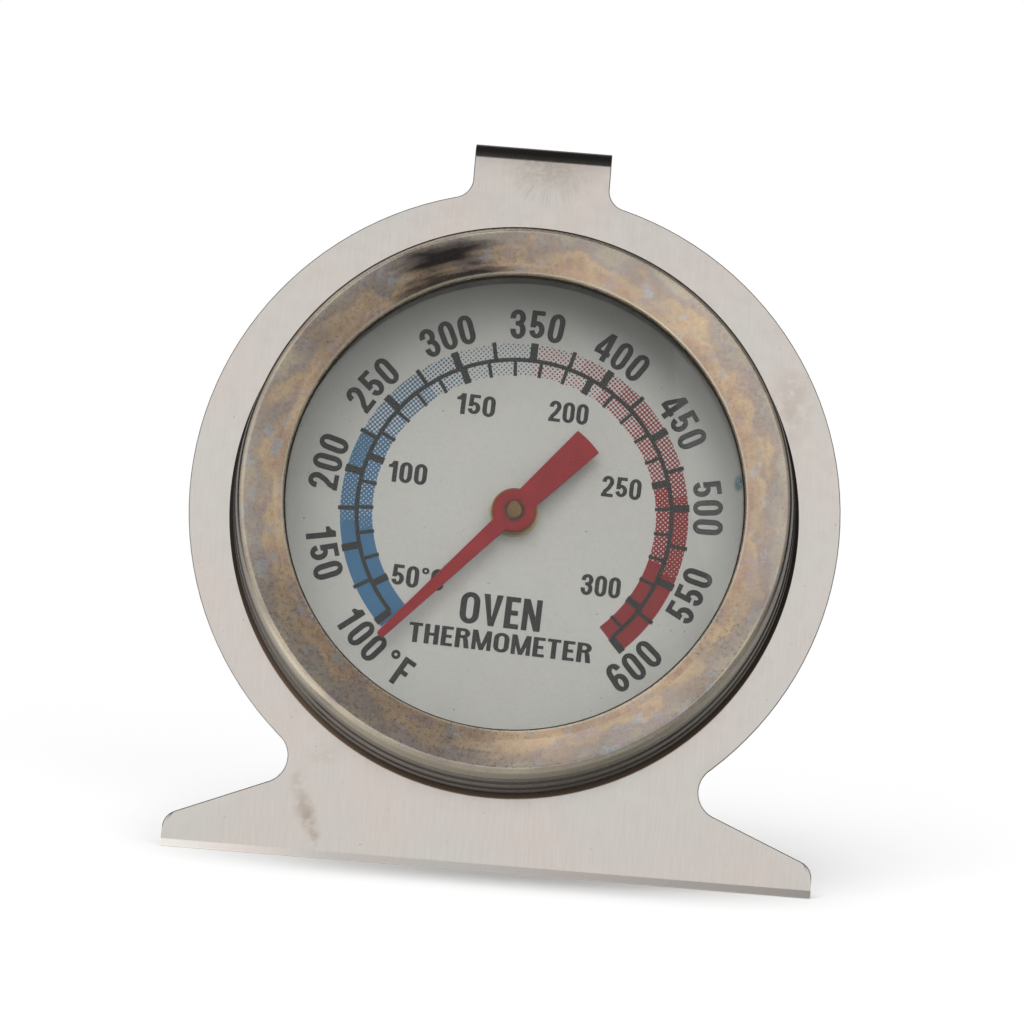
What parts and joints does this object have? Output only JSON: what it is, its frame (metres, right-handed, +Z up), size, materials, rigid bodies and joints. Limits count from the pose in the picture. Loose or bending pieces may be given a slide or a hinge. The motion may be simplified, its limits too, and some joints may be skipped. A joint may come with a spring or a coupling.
{
  "type": "oven thermometer",
  "caption": "Round dial oven thermometer with a bimetal pointer, on a sheet-metal stand with a flat foot and a hanging hook.",
  "frame": {"origin": "middle of the foot's flat resting face", "axes": "+Z up, -Y towards the reader (dial side), +X to the dial's right as read from the front"},
  "size_m": [0.0644, 0.0369, 0.0711],
  "materials": {
    "stand_sheet": "satin",
    "can_sheet": "satin",
    "bezel_sheet": "heat tinted, worn",
    "plain_steel": "plain",
    "cushion": "matt",
    "lens": "clear",
    "dial_metal": "satin, printed",
    "brass": "dull",
    "bimetal": "plain",
    "pointer_paint": "red, matt"
  },
  "bodies": {
    "case": {"stand_plate": "stand_sheet", "case_can": "can_sheet", "retaining_ring": "plain_steel", "bezel_ring": "bezel_sheet", "lens_cushion": "cushion", "glass_lens": "lens", "spacer_ring": "can_sheet", "dial_plate": "dial_metal", "movement_bridge": "plain_steel", "front_bush": "brass", "rear_bush": "brass", "front_washer": "plain_steel", "rear_washer": "plain_steel", "bimetal_coil": "bimetal", "coil_rivet": "plain_steel"},
    "indicator": {"spindle": "brass", "spindle_clip": "plain_steel", "coil_collet": "brass", "pointer_hub": "brass", "pointer": "pointer_paint"}
  },
  "joints": [
    {"name": "pointer_turn", "type": "hinge", "parent": "case", "child": "indicator", "pos_m": [0, -0.00664, 0.03463], "axis": [0, 0.9781, -0.2079], "range_deg": [-12, 280], "deforming": ["bimetal_coil"]}
  ]
}
